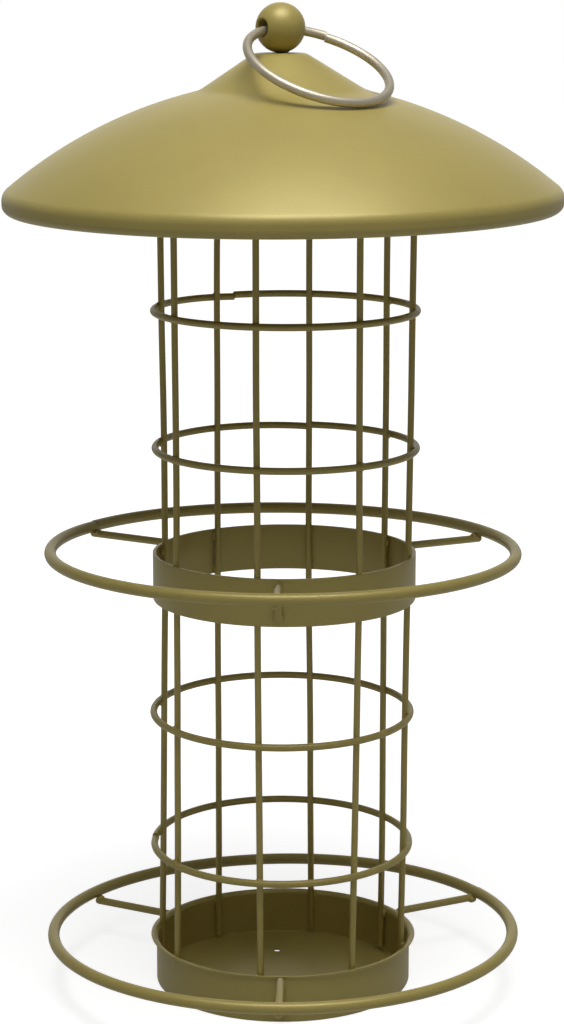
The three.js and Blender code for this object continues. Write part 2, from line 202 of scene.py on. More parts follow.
class FeederRoof(PropertyGroup):
    sheet: length("Roof sheet", "Thickness of the roof", 0.9)
    flat: length("Flat top", "Radius of the flat top", 8.1)
    cone: length("Cone", "Radius at the foot of the cone", 26.4)
    cone_drop: length("Cone drop", "Drop from the flat top to the foot of the cone", 11.7)
    dome: length("Dome", "Radius at the outer edge of the dome", 86.9)
    dome_drop: length("Dome drop", "Drop from the foot of the cone to the dome's edge", 29.9)
    bulge: length("Dome bulge", "Rise of the dome above a straight line", 3.9)
    rim: length("Rim", "Radius of the rim's outer bend", 4.3)
    skirt: length("Skirt", "Straight part of the rim", 1.3)
    curl: length("Curl", "Radius of the rim's inward curl", 2.8)
    curl_angle: angle("Curl angle", "How far the rim curls inwards", 70)
    crease: length("Crease softness", "Rounding where the cone meets its neighbours", 0.35)
    front_dip: length("Front dip", "How much lower than true the rim hangs at the front", 0.85)
    left_dip: length("Left dip", "How much lower than true the rim hangs at the left", 0.4)
    top_shift: length("Top shift", "How far the flat top sits to the left of the rim", 0.9)


class FeederLatch(PropertyGroup):
    ball: length("Ball", "Diameter of the finial ball", 15.6)
    ball_shift: length("Ball shift", "How far the ball sits off its stud, along its hole", 1.0)
    ball_hole: length("Ball hole", "Diameter of the cross hole for the ring", 5.376)
    hole_edge: length("Hole edge", "Rounding at the mouths of the cross hole", 0.45)
    stud: length("Stud", "Diameter of the stud over its thread", 4.0)
    pitch: length("Thread pitch", "Height of one turn of the thread", 0.7)
    flats: length("Nut flats", "Width of a nut across its flats", 7.0)
    bar_width: length("Bar width", "Width of the latch bar", 8.0)


class FeederRing(PropertyGroup):
    radius: length("Ring radius", "Radius of the ring's centre line", 22.8)
    wire: length("Ring wire", "Diameter of the ring's wire", 2.9)
    lie: angle("Lie", "How far the ring dips from level where it lies on the roof", 27.4)
    slack: length("Slack", "How far the ring sits below the middle of the ball's hole", 0.75)
    joint: angle("Ring joint", "Angle round the ring from the ball to its joint", 40)
    joint_gap: length("Ring joint gap", "Gap between the ring's two ends", 0.1)
    joint_step: length("Ring joint step", "How far the two ends miss each other sideways", 0.45)


class FeederFinish(PropertyGroup):
    paint: colour("Gold paint", "Antique gold lacquer", "#b3a35b")
    nickel: colour("Nickel", "Nickel-plated wire", "#c9bfa9")
    zinc: colour("Zinc", "Zinc-plated fasteners", "#b7babb")


# ---- nodes and materials


def add(tree, kind, inputs=None, **settings):
    """Adds a node with its settings, then its input values or links."""
    node = tree.nodes.new(kind)
    for name, value in settings.items():
        setattr(node, name, value)
    for name, value in (inputs or {}).items():
        if isinstance(value, NodeSocket):
            tree.links.new(value, node.inputs[name])
        else:
            node.inputs[name].default_value = value
    return node


def first(tree, kind, inputs=None, **settings):
    """Adds a node and returns its first output."""
    return add(tree, kind, inputs, **settings).outputs[0]


def tree_of(values):
    """The tree that holds the first node output among some values."""
    return next(v.id_data for v in values if isinstance(v, NodeSocket))


def maths(operation, *values, kind="ShaderNodeMath"):
    return first(tree_of(values), kind, dict(enumerate(values)), operation=operation)


plus, minus = partial(maths, "ADD"), partial(maths, "SUBTRACT")
times, over = partial(maths, "MULTIPLY"), partial(maths, "DIVIDE")
vectors = partial(maths, kind="ShaderNodeVectorMath")


def xyz(**axes):
    return first(tree_of(axes.values()), "ShaderNodeCombineXYZ", axes)


def split(vector):
    return add(vector.id_data, "ShaderNodeSeparateXYZ", {0: vector}).outputs


def smooth_step(value, start, end, low=0.0, high=1.0):
    return first(value.id_data, "ShaderNodeMapRange", {
        "Value": value, "From Min": start, "From Max": end, "To Min": low, "To Max": high,
    }, interpolation_type="SMOOTHSTEP")


def new_material(name):
    material = bpy.data.materials.new(name)
    material.use_nodes = True
    tree = material.node_tree
    tree.nodes.clear()
    return material, tree


def speckle(tree, size, detail=2.0):
    """Noise in object space whose spots are about as wide as size, in metres."""
    place = add(tree, "ShaderNodeTexCoord").outputs["Object"]
    return first(tree, "ShaderNodeTexNoise", {
        "Vector": place, "Scale": 1 / size, "Detail": detail, "Roughness": 0.5,
    })


def spread(noise, low, high):
    """Stretches a noise value so that its middle part runs from low to high."""
    return first(noise.id_data, "ShaderNodeMapRange", {
        "Value": noise, "From Min": 0.3, "From Max": 0.7, "To Min": low, "To Max": high,
    })


def coat(tree, rgb, brightness, inputs):
    """Ends a material: a surface of one colour whose brightness varies."""
    shaded = first(tree, "ShaderNodeHueSaturation", {"Color": [*rgb, 1.0], "Value": brightness})
    shader = first(tree, "ShaderNodeBsdfPrincipled", {"Base Color": shaded, **inputs})
    add(tree, "ShaderNodeOutputMaterial", {"Surface": shader})


def antique_gold_lacquer(finish):
    """Metallic lacquer sprayed on steel: brass flake in a satin binder, so its sheen is wide
    and soft, and it darkens quickly where it turns away from the light."""
    material, tree = new_material("antique_gold_lacquer")
    # Flake is about 0.05 mm across and is drawn at 0.45 mm, so that it shows.
    flake = speckle(tree, 0.45 * MM, detail=1.0)
    cloud = speckle(tree, 22 * MM)
    peel = speckle(tree, 1.4 * MM)
    bump = first(tree, "ShaderNodeBump", {"Height": peel, "Strength": 0.35, "Distance": 0.05 * MM})
    coat(tree, finish.paint, times(spread(flake, 0.955, 1.045), spread(cloud, 0.97, 1.03)), {
        "Metallic": 0.15, "Specular IOR Level": 0.42,
        "Roughness": spread(flake, 0.38, 0.46), "Normal": bump,
    })
    return material


def nickel_plated_wire(finish):
    """Nickel over drawn steel wire, dulled by handling: a soft grey sheen, a little tarnish."""
    material, tree = new_material("nickel_plated_wire")
    tarnish = speckle(tree, 6 * MM)
    coat(tree, finish.nickel, spread(tarnish, 0.86, 1.0), {
        "Metallic": 0.75, "Roughness": spread(tarnish, 0.48, 0.4),
    })
    return material


def zinc_plated_steel(finish):
    """Bright zinc plate on fasteners: a cool, slightly cloudy metal."""
    material, tree = new_material("zinc_plated_steel")
    cloud = speckle(tree, 2.5 * MM)
    coat(tree, finish.zinc, spread(cloud, 0.9, 1.05), {
        "Metallic": 1.0, "Roughness": spread(cloud, 0.32, 0.45),
    })
    return material


MATERIALS = {
    "gold_paint": antique_gold_lacquer,
    "nickel_plate": nickel_plated_wire,
    "zinc_plate": zinc_plated_steel,
}


def finish_for(slot):
    """The material for one of the record's slots, made once."""
    name = MATERIALS[slot].__name__
    return bpy.data.materials.get(name) or MATERIALS[slot](bpy.context.scene.feeder_finish)


# ---- pieces


def settle(piece, body, *nodes, slot="gold_paint", sharp=40):
    """Shades and paints a finished piece, ties it to its body and hides the nodes it stands for.
    """
    piece.data.shade_smooth()
    piece.data.set_sharp_from_angle(angle=radians(sharp))
    piece.data.materials.clear()
    piece.data.materials.append(finish_for(slot))
    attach(piece, body)
    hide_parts(*nodes)


def new_object(name, data):
    thing = bpy.data.objects.new(name, data)
    bpy.context.scene.collection.objects.link(thing)
    return thing


def apply_modifier(piece, modifier):
    """Leaves a plain mesh."""
    graph = bpy.context.evaluated_depsgraph_get()
    mesh = bpy.data.meshes.new_from_object(piece.evaluated_get(graph))
    piece.modifiers.remove(modifier)
    piece.data = mesh


def piece_from(name, shape):
    """A new object from a bmesh whose faces are turned outwards first."""
    bmesh.ops.remove_doubles(shape, verts=shape.verts, dist=1e-7)
    bmesh.ops.recalc_face_normals(shape, faces=shape.faces)
    mesh = bpy.data.meshes.new(name)
    shape.to_mesh(mesh)
    shape.free()
    return new_object(name, mesh)


def softened(node, edge):
    """A copy of a CAD node with its sharp edges rounded."""
    shape = bmesh.new()
    shape.from_mesh(frame["nodes"][node].data)
    bmesh.ops.remove_doubles(shape, verts=shape.verts, dist=1e-6)
    bmesh.ops.dissolve_limit(
        shape, angle_limit=radians(1), verts=shape.verts, edges=shape.edges)
    corners = [e for e in shape.edges if e.calc_face_angle() > radians(30)]
    bmesh.ops.bevel(shape, geom=corners, offset=edge, segments=2, affect="EDGES")
    return piece_from(f"{node}_softened", shape)


def cut_out(piece, tool):
    """Cuts tool from piece, and leaves a plain mesh."""
    modifier = piece.modifiers.new("cut", "BOOLEAN")
    modifier.operation = "DIFFERENCE"
    modifier.solver = "EXACT"
    modifier.object = tool
    apply_modifier(piece, modifier)
    bpy.data.objects.remove(tool)


def arc(centre, radius, start, end, steps=10):
    """Points of an arc in a profile, both ends included, in degrees from +r towards +z."""
    angles = [radians(start + (end - start) * i / steps) for i in range(steps + 1)]
    return [(centre[0] + radius * cos(a), centre[1] + radius * sin(a)) for a in angles]


def rounded_sheet(inner, bottom, outer, top, edge):
    """The section of an upright sheet with rounded edges."""
    corners = [(outer - edge, bottom + edge, -90), (outer - edge, top - edge, 0),
               (inner + edge, top - edge, 90), (inner + edge, bottom + edge, 180)]
    return [p for r, z, start in corners for p in arc((r, z), edge, start, start + 90, 4)]


def turn(profile, steps=192, start=0.0, sweep=2 * pi, place=Matrix()):
    """A bmesh turned from a closed profile of (radius, height) round the Z axis, then placed."""
    shape = bmesh.new()
    whole = sweep > 2 * pi - 1e-6
    rows = []
    for r, z in profile:
        if r < 1e-9:
            rows.append([shape.verts.new(place @ (UP * z))] * (steps + 1))
            continue
        count = steps if whole else steps + 1
        row = [shape.verts.new(place @ at(r, start + sweep * i / steps, z)) for i in range(count)]
        rows.append(row + row[:1] if whole else row)
    for here, there in zip(rows, rows[1:] + rows[:1]):
        for i in range(steps):
            corners = dict.fromkeys([here[i], here[i + 1], there[i + 1], there[i]])
            if len(corners) > 2:
                shape.faces.new(corners)
    if not whole:
        shape.faces.new([row[0] for row in rows])
        shape.faces.new([row[-1] for row in rows])
    return shape


def neighbours(line):
    """Each item of a line with the one before it and the one after it. The ends repeat."""
    return zip(line[:1] + line, line, line[1:] + line[-1:])


def skin(shape, rings):
    """Faces between each closed ring of vertices and the next."""
    for here, there in zip(rings, rings[1:]):
        for i in range(len(here)):
            n = (i + 1) % len(here)
            shape.faces.new([here[i], here[n], there[n], there[i]])


def sweep_rod(shape, points, radius, sides=20, round_ends=True):
    """A round rod along a line of points, with half-round or flat ends."""
    def tip(end, before):
        out = (end - before).normalized() * radius
        return [(end + out * sin(a), radius * cos(a)) for a in map(radians, (22.5, 45, 67.5))]

    stations = [(p, radius) for p in points]
    if round_ends:
        stations = [*tip(*points[:2])[::-1], *stations, *tip(*points[:-3:-1])]
    side = None
    rings = []
    for (before, _), (point, size), (after, _) in neighbours(stations):
        ahead = (after - before).normalized()
        side = side or ahead.orthogonal()
        side = (side - ahead * side.dot(ahead)).normalized()
        other = ahead.cross(side)
        rings.append([
            shape.verts.new(point + (side * cos(a) + other * sin(a)) * size)
            for a in (2 * pi * k / sides for k in range(sides))
        ])
    skin(shape, rings)
    shape.faces.new(rings[0][::-1])
    shape.faces.new(rings[-1])


# ---- Geometry Nodes


def new_tree(name, sizes):
    """An empty Geometry Nodes tree with a geometry input and output and named sizes."""
    tree = bpy.data.node_groups.new(name, "GeometryNodeTree")
    kinds = {"Geometry": "Geometry", "Material": "Material", "Seed": "Int", "Sides": "Int"}
    for label in ("Geometry", *sizes, "Material"):
        kind = "NodeSocket" + kinds.get(label, "Float")
        tree.interface.new_socket(label, in_out="INPUT", socket_type=kind)
    tree.interface.new_socket("Geometry", in_out="OUTPUT", socket_type="NodeSocketGeometry")
    return tree, add(tree, "NodeGroupInput").outputs


def named(tree, label):
    """The value of an attribute that the points carry."""
    return first(tree, "GeometryNodeInputNamedAttribute", {"Name": label}, data_type="FLOAT")


def realized(geometry):
    return first(geometry.id_data, "GeometryNodeRealizeInstances", {"Geometry": geometry})


def moved(geometry, offset):
    return first(geometry.id_data, "GeometryNodeSetPosition", {
        "Geometry": geometry, "Offset": offset,
    })


def copies(points, instance, **inputs):
    """A copy of the instance on each point."""
    return first(points.id_data, "GeometryNodeInstanceOnPoints", {
        "Points": points, "Instance": instance, **inputs,
    })


def turned_by(angle_z):
    return first(angle_z.id_data, "FunctionNodeEulerToRotation", {"Euler": xyz(Z=angle_z)})


def rods(paths, sides, radius):
    """Round rods along some curves."""
    tree = paths.id_data
    section = first(tree, "GeometryNodeCurvePrimitiveCircle", {
        "Resolution": sides, "Radius": radius,
    })
    return first(tree, "GeometryNodeCurveToMesh", {
        "Curve": paths, "Profile Curve": section, "Fill Caps": True,
    })


def close_tree(geometry, given):
    """Ends a tree: plain mesh, smooth, in its material."""
    tree = geometry.id_data
    smooth = first(tree, "GeometryNodeSetShadeSmooth", {"Geometry": geometry})
    painted = first(tree, "GeometryNodeSetMaterial", {
        "Geometry": realized(smooth), "Material": given["Material"],
    })
    add(tree, "NodeGroupOutput", {"Geometry": painted})
    return tree


def grow(name, points, tree, sizes, slot="gold_paint", **attributes):
    """Runs a tree on a set of points that carry attributes, and returns a plain mesh object."""
    mesh = bpy.data.meshes.new(name)
    mesh.from_pydata(points, [], [])
    for label, values in attributes.items():
        mesh.attributes.new(label, "FLOAT", "POINT").data.foreach_set("value", values)
    piece = new_object(name, mesh)
    modifier = piece.modifiers.new(name, "NODES")
    modifier.node_group = tree
    given = {**sizes, "Material": finish_for(slot)}
    for item in tree.interface.items_tree:
        if item.in_out == "INPUT" and item.name in given:
            modifier[item.identifier] = given[item.name]
    apply_modifier(piece, modifier)
    return piece


def upright_tree():
    """Wires standing on the points, each straying a little from straight. They lean away to
    the sides above and below the band, by the attributes "top" and "foot" at their ends."""
    tree, given = new_tree("cut_uprights", ["Radius", "Height", "Band Height", "Wander", "Seed"])
    height, band = given["Height"], given["Band Height"]
    line = first(tree, "GeometryNodeCurvePrimitiveLine", {"End": xyz(Z=height)})
    fine = first(tree, "GeometryNodeResampleCurve", {"Curve": line, "Count": 72})
    wires = realized(copies(given["Geometry"], fine))
    along = add(tree, "GeometryNodeSplineParameter").outputs["Length"]
    above = over(minus(along, band), minus(height, band))
    below = over(minus(band, along), band)
    lean = plus(times(maths("MAXIMUM", above, 0.0), named(tree, "top")),
                times(maths("MAXIMUM", below, 0.0), named(tree, "foot")))
    noise = add(tree, "ShaderNodeTexNoise", {
        "Vector": first(tree, "GeometryNodeInputPosition"),
        "W": given["Seed"], "Scale": 1 / (45 * MM), "Detail": 0.0,
    }, noise_dimensions="4D").outputs["Color"]
    level = vectors("MULTIPLY", vectors("SUBTRACT", noise, (0.5, 0.5, 0.5)), (2, 2, 0))
    bent = moved(moved(wires, xyz(X=lean)), vectors("MULTIPLY", level, given["Wander"]))
    return close_tree(rods(bent, 20, given["Radius"]), given)


def bent_ring_tree():
    """Rings bent from rod, one centred on each point. Their ends meet at the azimuth in the
    attribute "joint", where one end sits a little below the other. "growth" scales a ring,
    "tilt" is how far it rises for each metre towards the back, and "twist" how far for each
    metre to the right, which fades out towards the front."""
    sizes = ["Ring Radius", "Rod Radius", "Gap", "Step", "Fade", "Sides"]
    tree, given = new_tree("bent_rings", sizes)
    radius = given["Ring Radius"]
    gap = over(given["Gap"], radius)
    path = first(tree, "GeometryNodeCurveArc", {
        "Resolution": 241, "Radius": radius,
        "Start Angle": times(gap, 0.5), "Sweep Angle": minus(2 * pi, gap),
    }, mode="RADIUS")
    along = add(tree, "GeometryNodeSplineParameter").outputs["Length"]
    fade = maths("EXPONENT", times(over(along, given["Fade"]), -1.0))
    stepped = moved(path, xyz(Z=times(times(fade, given["Step"]), -1.0)))
    wide = named(tree, "growth")
    level = realized(copies(
        given["Geometry"], stepped, Scale=xyz(X=wide, Y=wide, Z=1.0),
        Rotation=turned_by(minus(named(tree, "joint"), pi / 2))))
    x, y, _ = split(first(tree, "GeometryNodeInputPosition"))
    twisted = times(times(x, named(tree, "twist")), plus(over(y, radius), 1.0))
    paths = moved(level, xyz(Z=plus(times(y, named(tree, "tilt")), twisted)))
    return close_tree(rods(paths, given["Sides"], given["Rod Radius"]), given)


def weld_tree():
    """Small lumps of weld on the points, turned to face the axis. The attributes "out",
    "along" and "high" are each lump's half sizes."""
    tree, given = new_tree("weld_lumps", ["Variation", "Seed"])
    lump = first(tree, "GeometryNodeMeshIcoSphere", {"Radius": 1.0, "Subdivisions": 3})
    size = xyz(X=named(tree, "along"), Y=named(tree, "out"), Z=named(tree, "high"))
    chance = add(tree, "FunctionNodeRandomValue", {
        2: minus(1.0, given["Variation"]), 3: plus(1.0, given["Variation"]), "Seed": given["Seed"],
    }, data_type="FLOAT").outputs[1]
    x, y, _ = split(first(tree, "GeometryNodeInputPosition"))
    lumps = copies(given["Geometry"], lump, Scale=vectors("MULTIPLY", size, chance),
                   Rotation=turned_by(maths("ARCTAN2", x, times(y, -1.0))))
    return close_tree(lumps, given)


def thread_tree():
    """A threaded rod standing on the point: a fine cylinder whose radius follows the thread."""
    tree, given = new_tree("threaded_rod", ["Radius", "Length", "Pitch"])
    radius, long, pitch = (given[size] for size in ("Radius", "Length", "Pitch"))
    blank = first(tree, "GeometryNodeMeshCylinder", {
        "Vertices": 32, "Side Segments": times(over(long, pitch), 8.0), "Fill Segments": 1,
        "Radius": radius, "Depth": long,
    })
    place = first(tree, "GeometryNodeInputPosition")
    x, y, z = split(place)
    turns = over(maths("ARCTAN2", y, x), 2 * pi)
    ridge = maths("PINGPONG", minus(over(z, pitch), turns), 0.5)
    # The ridge is 0 at the crest and 0.5 at the root; the thread is 0.61 of its pitch deep.
    share = minus(1.0, over(times(times(pitch, 1.22), ridge), radius))
    cut = vectors("MULTIPLY", place, xyz(X=share, Y=share, Z=1.0))
    lifted = vectors("ADD", cut, xyz(Z=times(long, 0.5)))
    rod = first(tree, "GeometryNodeSetPosition", {"Geometry": blank, "Position": lifted})
    return close_tree(copies(given["Geometry"], rod), given)


# ---- the cage


class FEEDER_OT_tray(Operator):
    """Turn the tray from sheet, flare its lip and drill its drain holes"""

    bl_idname = "feeder.tray"
    bl_label = "Tray"

    def execute(self, context):
        sizes = context.scene.feeder_sheets
        sheet, corner, bend = sizes.tray_sheet, sizes.tray_corner, sizes.lip_radius
        bottom, top = height_range("tray")
        wall = WALL_INSIDE + sheet
        lip_start = wall + bend
        lip_end = lip_start + sizes.lip_width - sheet / 2
        lip_middle = top - sheet / 2
        foot = (wall - corner, bottom + corner)
        turn_out = (lip_start, top - sheet - bend)
        profile = [
            (0, bottom),
            *arc(foot, corner, -90, 0),
            *arc(turn_out, bend, 180, 90),
            *arc((lip_end, lip_middle), sheet / 2, -90, 90, 6),
            *arc(turn_out, bend + sheet, 90, 180),
            *arc(foot, corner - sheet, 0, -90),
            (0, bottom + sheet),
        ]
        shape = turn(profile)
        for vertex in shape.verts:
            radius = vertex.co.to_2d().length
            if radius > wall:
                frontal = (vertex.co.y / radius) ** 2
                flare = (radius - wall) * (1 - sizes.lip_uneven * frontal)
                vertex.co.xy *= (wall + flare) / radius
        tray = piece_from("tray_pan", shape)
        for i in range(sizes.drain_count):
            azimuth = sizes.drain_start + 2 * pi * i / sizes.drain_count
            drill = bmesh.new()
            bmesh.ops.create_cone(
                drill, cap_ends=True, segments=32, depth=4 * sheet,
                radius1=sizes.drain / 2, radius2=sizes.drain / 2,
                matrix=Matrix.Translation(at(sizes.drain_circle, azimuth, bottom)))
            cut_out(tray, piece_from("drill", drill))
        settle(tray, "cage", "tray")
        return {"FINISHED"}


class FEEDER_OT_bands(Operator):
    """Bend the middle band, with its butt seam, and the top collar with its two latch tabs"""

    bl_idname = "feeder.bands"
    bl_label = "Band and collar"

    strip_edge, tab_edge = 0.25 * MM, 0.2 * MM

    def execute(self, context):
        sizes = context.scene.feeder_sheets
        outside = WALL_INSIDE + sizes.band_sheet
        aside = Matrix.Translation((sizes.shift, 0, 0))
        half = sizes.seam_gap / 2 / WALL_INSIDE
        seam = {"start": sizes.seam_azimuth + half, "sweep": 2 * pi - 2 * half}
        for node, kind, cut in ("middle_band", "strip", seam), ("top_collar", "ring", {}):
            bottom, top = height_range(node)
            section = rounded_sheet(WALL_INSIDE, bottom, outside, top, self.strip_edge)
            strip = piece_from(f"{node}_{kind}", turn(section, place=aside, **cut))
            settle(strip, "cage", node)
        for tab in TABS:
            piece = softened(tab, self.tab_edge)
            piece.data.transform(aside)
            settle(piece, "cage", tab)
        return {"FINISHED"}


def upright_at(i, height):
    """The middle of an upright at a height."""
    (bottom, top), band = height_range(UPRIGHTS[i]), middle("middle_band").z
    foot_aside, aside, top_aside = UPRIGHT_SHIFTS[i]
    if height > band:
        aside += (top_aside - aside) * (height - band) / (top - band)
    else:
        aside += (foot_aside - aside) * (band - height) / (band - bottom)
    true = at(UPRIGHT_CIRCLE, azimuth_of(middle(UPRIGHTS[i])), height)
    return true + Vector((aside * MM, 0, 0))


class FEEDER_OT_uprights(Operator):
    """Stand the uprights in the cage"""

    bl_idname = "feeder.uprights"
    bl_label = "Uprights"

    def execute(self, context):
        sizes = context.scene.feeder_cage
        bottom, top = height_range(UPRIGHTS[0])
        band = middle("middle_band").z
        stands = [upright_at(i, band) - UP * (band - bottom) for i in range(len(UPRIGHTS))]
        wires = grow("uprights", stands, upright_tree(), {
            "Radius": sizes.wire / 2, "Height": top - bottom, "Band Height": band - bottom,
            "Wander": sizes.wander, "Seed": sizes.seed,
        }, top=[(high - mid) * MM for _, mid, high in UPRIGHT_SHIFTS],
            foot=[(low - mid) * MM for low, mid, _ in UPRIGHT_SHIFTS])
        settle(wires, "cage", *UPRIGHTS)
        return {"FINISHED"}


def perch_radius(sizes):
    return outer_radius(PERCH_RINGS[0]) - sizes.ring / 2


def tilted(point, degrees):
    """A point raised as a piece welded out of level raises it."""
    return point + UP * point.y * slope(degrees)


def perch_lifted(point, level, sizes):
    """A point raised as its perch ring is."""
    perch = PERCH_STRAYS[level]
    fade = 1 + point.y / perch_radius(sizes)
    twist = point.x * slope(perch.twist) * fade
    return tilted(point, perch.tilt) + UP * (twist + perch.rise * MM)


class FEEDER_OT_hoops(Operator):
    """Bend the hoops and the perch rings"""

    bl_idname = "feeder.hoops"
    bl_label = "Hoops and perch rings"

    perch_step = 0.2 * MM

    def execute(self, context):
        cage, perches = context.scene.feeder_cage, context.scene.feeder_perches
        tree = bent_ring_tree()
        shared = {"Gap": cage.joint_gap, "Fade": cage.joint_fade}
        self.bend(tree, "cage_hoops", HOOPS, HOOP_STRAYS, {
            **shared, "Ring Radius": WALL_INSIDE + cage.hoop / 2 - cage.sink,
            "Rod Radius": cage.hoop / 2, "Step": cage.joint_step, "Sides": 16,
        })
        self.bend(tree, "perch_rings", PERCH_RINGS, PERCH_STRAYS.values(), {
            **shared, "Ring Radius": perch_radius(perches),
            "Rod Radius": perches.ring / 2, "Step": self.perch_step, "Sides": 24,
        })
        return {"FINISHED"}

    def bend(self, tree, name, nodes, strays, sizes):
        centres = [middle(n) + Vector((s.shift, 0, s.rise)) * MM for n, s in zip(nodes, strays)]
        rings = grow(
            name, centres, tree, sizes,
            joint=[radians(s.joint) for s in strays],
            growth=[1 + s.growth * MM / sizes["Ring Radius"] for s in strays],
            tilt=[slope(s.tilt) for s in strays],
            twist=[slope(s.twist) for s in strays])
        settle(rings, "cage", *nodes)


def spoke_nodes(level):
    return [f"{level}_spoke_{i}" for i in (1, 2, 3)]


def spoke_facts(node, sizes):
    """Azimuth, leg radius, arm height, foot height and reach of a spoke, from its CAD node."""
    points = points_of(node)
    azimuth = azimuth_of(sum(points, Vector()) / len(points))
    outward = at(1, azimuth)
    low, high = height_range(node)
    wall_side = min(p.dot(outward) for p in points)
    half = sizes.spoke / 2
    return azimuth, wall_side + half, high - half, low, points[0].dot(outward)


class FEEDER_OT_spokes(Operator):
    """Bend the spokes that carry the perch rings"""

    bl_idname = "feeder.spokes"
    bl_label = "Spokes"

    def execute(self, context):
        sizes = context.scene.feeder_perches
        radius = sizes.spoke / 2
        for level, welded in SPOKE_STRAYS.items():
            shape = bmesh.new()
            for node, (turned, inner, outer) in zip(spoke_nodes(level), welded):
                azimuth, leg, arm, foot, reach = spoke_facts(node, sizes)
                azimuth += radians(turned)
                bend = arc((leg + sizes.bend, arm - sizes.bend), sizes.bend, 180, 90, 8)
                line = []
                for r, z in [(leg, foot + radius), *bend, (reach - radius, arm)]:
                    rise = inner + (outer - inner) * (r - leg) / (reach - leg)
                    line.append(perch_lifted(at(r, azimuth, z + rise * MM), level, sizes))
                sweep_rod(shape, line, radius)
            spokes = piece_from(f"{level}_spokes", shape)
            settle(spokes, "cage", *spoke_nodes(level))
        return {"FINISHED"}


class FEEDER_OT_welds(Operator):
    """Lay the welds that hold the cage together"""

    bl_idname = "feeder.welds"
    bl_label = "Welds"

    # Half sizes of each kind of lump, out, along and high, as shares of the weld's size.
    on_hoop = (0.75, 1, 1)
    on_wall = (0.6, 1.05, 1.2)
    on_ring = (0.8, 0.8, 0.6)
    on_leg = (0.35, 0.85, 1)
    # How far outwards of an upright a lump lies, and how far from the edge of the wall.
    hoop_out, wall_out, edge_in = 0.95 * MM, 0.6 * MM, 2.2 * MM
    leg_in = 1.2 * MM  # from the foot of a spoke's leg

    def execute(self, context):
        cage, perches = context.scene.feeder_cage, context.scene.feeder_perches
        low, top = height_range("middle_band")
        brim = height_range("tray")[1]
        lumps = []
        for i in range(len(UPRIGHTS)):
            for hoop, stray in zip(HOOPS, HOOP_STRAYS):
                spot = tilted(upright_at(i, middle(hoop).z + stray.rise * MM), stray.tilt)
                lumps.append((spot, self.hoop_out, self.on_hoop))
            for height in (low + self.edge_in, top - self.edge_in, brim - self.edge_in):
                lumps.append((upright_at(i, height), self.wall_out, self.on_wall))
        lumps = [(spot + at(1, azimuth_of(spot)) * out, [share * cage.weld for share in shares])
                 for spot, out, shares in lumps]
        for level, welded in SPOKE_STRAYS.items():
            inside = perch_radius(perches) + PERCH_STRAYS[level].growth * MM - perches.ring / 2
            for node, (turned, inner, _) in zip(spoke_nodes(level), welded):
                azimuth, leg, arm, foot, _ = spoke_facts(node, perches)
                azimuth += radians(turned)
                wall, rise = leg - perches.spoke / 2, inner * MM
                for radius, z, shares in (
                    (inside, arm + perches.spoke / 2, self.on_ring),
                    (wall, foot + self.leg_in + rise, self.on_leg),
                    (wall, arm - perches.bend + rise, self.on_leg),
                ):
                    spot = perch_lifted(at(radius, azimuth, z), level, perches)
                    lumps.append((spot, [share * perches.weld for share in shares]))
        out, along, high = zip(*(half_sizes for _, half_sizes in lumps))
        welds = grow("welds", [spot for spot, _ in lumps], weld_tree(), {
            "Variation": 0.15, "Seed": cage.seed,
        }, out=out, along=along, high=high)
        settle(welds, "cage")
        return {"FINISHED"}


# ---- the roof


def roof_line(sizes):
    """The roof's outer line from the stud hole to the end of the curl. Its top is at height 0."""
    run, fall = sizes.dome - sizes.cone, sizes.dome_drop
    half = hypot(run, fall) / 2
    radius = (half ** 2 + sizes.bulge ** 2) / (2 * sizes.bulge)
    lean = atan2(fall, run)
    inward = Vector((-sin(lean), -cos(lean)))
    mid = Vector((sizes.cone + run / 2, -sizes.cone_drop - fall / 2))
    centre = mid + inward * (radius - sizes.bulge)
    edge_angle = degrees(pi / 2 - lean - asin(half / radius))
    cone_slope = sizes.cone_drop / (sizes.cone - sizes.flat)

    def height(r):
        cone = -(r - sizes.flat) * cone_slope
        dome = centre.y + sqrt(radius ** 2 - (r - centre.x) ** 2)
        top = soft_max(cone, dome, sizes.crease)
        return -soft_max(-top, 0, sizes.crease)

    hole = stud_hole()
    fine = 1.2 * MM
    count = round((sizes.dome - hole) / fine)
    surface = [hole + (sizes.dome - hole) * i / count for i in range(count)]
    rim_centre = (
        sizes.dome - sizes.rim * cos(radians(edge_angle)),
        height(sizes.dome) - sizes.rim * sin(radians(edge_angle)),
    )
    curl_centre = (rim_centre[0] + sizes.rim - sizes.curl, rim_centre[1] - sizes.skirt)
    return [
        *((r, height(r)) for r in surface),
        *arc(rim_centre, sizes.rim, edge_angle, 0, 12),
        *arc(curl_centre, sizes.curl, 0, -degrees(sizes.curl_angle), 12),
    ]


def stud_hole():
    """Radius of the roof's stud hole."""
    clearance = 0.3 * MM
    return bpy.context.scene.feeder_latch.stud / 2 + clearance


def soft_max(a, b, softness):
    return (a + b + sqrt((a - b) ** 2 + softness ** 2)) / 2


def offset(line, distance):
    """A line of points moved to its right by a distance."""
    shifted = []
    for before, (r, z), after in neighbours(line):
        ahead = Vector((after[0] - before[0], after[1] - before[1])).normalized()
        shifted.append((r + ahead.y * distance, z - ahead.x * distance))
    return shifted


